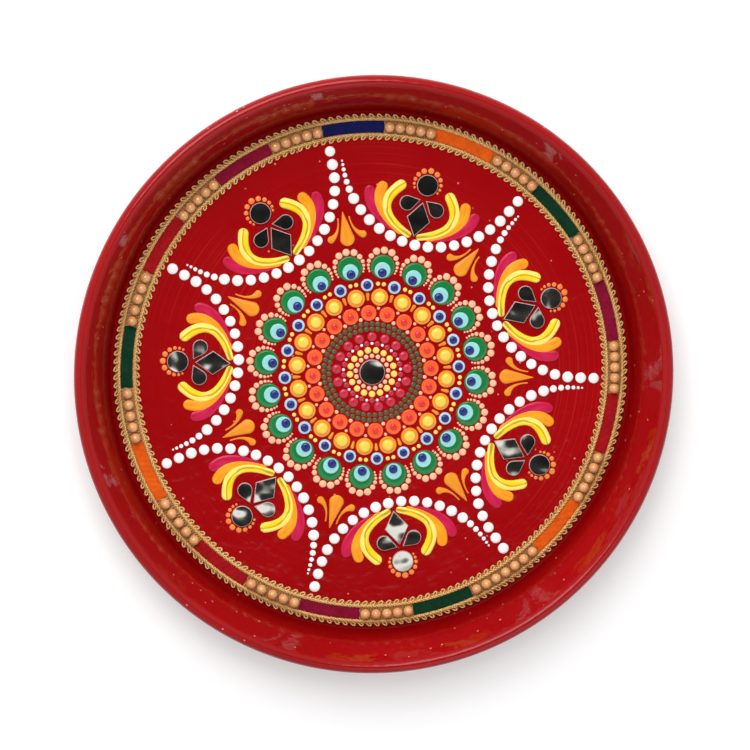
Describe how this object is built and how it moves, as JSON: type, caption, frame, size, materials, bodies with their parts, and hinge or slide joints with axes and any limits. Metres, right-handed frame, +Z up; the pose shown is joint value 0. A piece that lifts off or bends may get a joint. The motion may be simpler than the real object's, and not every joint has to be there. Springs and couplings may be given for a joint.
{
  "type": "puja thali",
  "caption": "Round red enamelled steel tray with a flared wall and rolled rim, its floor decorated with relief paint, small mirrors and a laced edge, for carrying offerings.",
  "frame": {"origin": "middle of the underside, on the surface that the plate stands on", "axes": "+Z up out of the dish; +Y is the top of the pattern as it is pictured"},
  "size_m": [0.28, 0.28, 0.027],
  "materials": {
    "red_enamel": "glossy red stoving enamel over pressed steel",
    "gold_net": "fine woven gold net ribbon",
    "gold_braid": "looped gimp braid of metallic gold thread",
    "velvet_navy": "short pile velvet",
    "velvet_orange": "short pile velvet",
    "velvet_green": "short pile velvet",
    "velvet_wine": "short pile velvet",
    "velvet_red": "short pile velvet",
    "pearl": "imitation pearl, soft nacre sheen",
    "mirror_glass": "silvered glass, cut edge",
    "white_dots": "dried glossy relief paint",
    "salmon_dots": "dried glossy relief paint",
    "halo_dots": "dried glossy relief paint",
    "lemon_dots": "dried glossy relief paint",
    "raspberry_dots": "dried glossy relief paint",
    "olive_beads": "dried glossy relief paint",
    "orange_dots": "dried glossy relief paint",
    "red_tops": "dried glossy relief paint",
    "amber_dots": "dried glossy relief paint",
    "yellow_tops": "dried glossy relief paint",
    "blue_eye_rims": "dried glossy relief paint",
    "green_eyes": "dried glossy relief paint",
    "turquoise_eyes": "dried glossy relief paint",
    "navy_pupils": "dried glossy relief paint",
    "mirror_beads": "dried glossy relief paint",
    "yellow_petals": "dried glossy relief paint",
    "amber_petals": "dried glossy relief paint",
    "crimson_petals": "dried glossy relief paint",
    "ochre_strokes": "dried glossy relief paint"
  },
  "bodies": {
    "root": {"dish": "red_enamel", "trim_ribbon": "gold_net", "inner_braid": "gold_braid", "outer_braid": "gold_braid", "velvet_navy": "velvet_navy", "velvet_orange": "velvet_orange", "velvet_green": "velvet_green", "velvet_wine": "velvet_wine", "velvet_red": "velvet_red", "pearls": "pearl", "middle_mirror": "mirror_glass", "diamond_mirror_1": "mirror_glass", "drop_mirror_left_1": "mirror_glass", "drop_mirror_right_1": "mirror_glass", "round_mirror_1": "mirror_glass", "diamond_mirror_2": "mirror_glass", "drop_mirror_left_2": "mirror_glass", "drop_mirror_right_2": "mirror_glass", "round_mirror_2": "mirror_glass", "diamond_mirror_3": "mirror_glass", "drop_mirror_left_3": "mirror_glass", "drop_mirror_right_3": "mirror_glass", "round_mirror_3": "mirror_glass", "diamond_mirror_4": "mirror_glass", "drop_mirror_left_4": "mirror_glass", "drop_mirror_right_4": "mirror_glass", "round_mirror_4": "mirror_glass", "diamond_mirror_5": "mirror_glass", "drop_mirror_left_5": "mirror_glass", "drop_mirror_right_5": "mirror_glass", "round_mirror_5": "mirror_glass", "diamond_mirror_6": "mirror_glass", "drop_mirror_left_6": "mirror_glass", "drop_mirror_right_6": "mirror_glass", "round_mirror_6": "mirror_glass", "diamond_mirror_7": "mirror_glass", "drop_mirror_left_7": "mirror_glass", "drop_mirror_right_7": "mirror_glass", "round_mirror_7": "mirror_glass", "white_dots": "white_dots", "salmon_dots": "salmon_dots", "halo_dots": "halo_dots", "lemon_dots": "lemon_dots", "raspberry_dots": "raspberry_dots", "olive_beads": "olive_beads", "orange_dots": "orange_dots", "red_tops": "red_tops", "amber_dots": "amber_dots", "yellow_tops": "yellow_tops", "blue_eye_rims": "blue_eye_rims", "green_eyes": "green_eyes", "turquoise_eyes": "turquoise_eyes", "navy_pupils": "navy_pupils", "mirror_beads": "mirror_beads", "yellow_petals": "yellow_petals", "amber_petals": "amber_petals", "crimson_petals": "crimson_petals", "ochre_strokes": "ochre_strokes"}
  },
  "joints": []
}
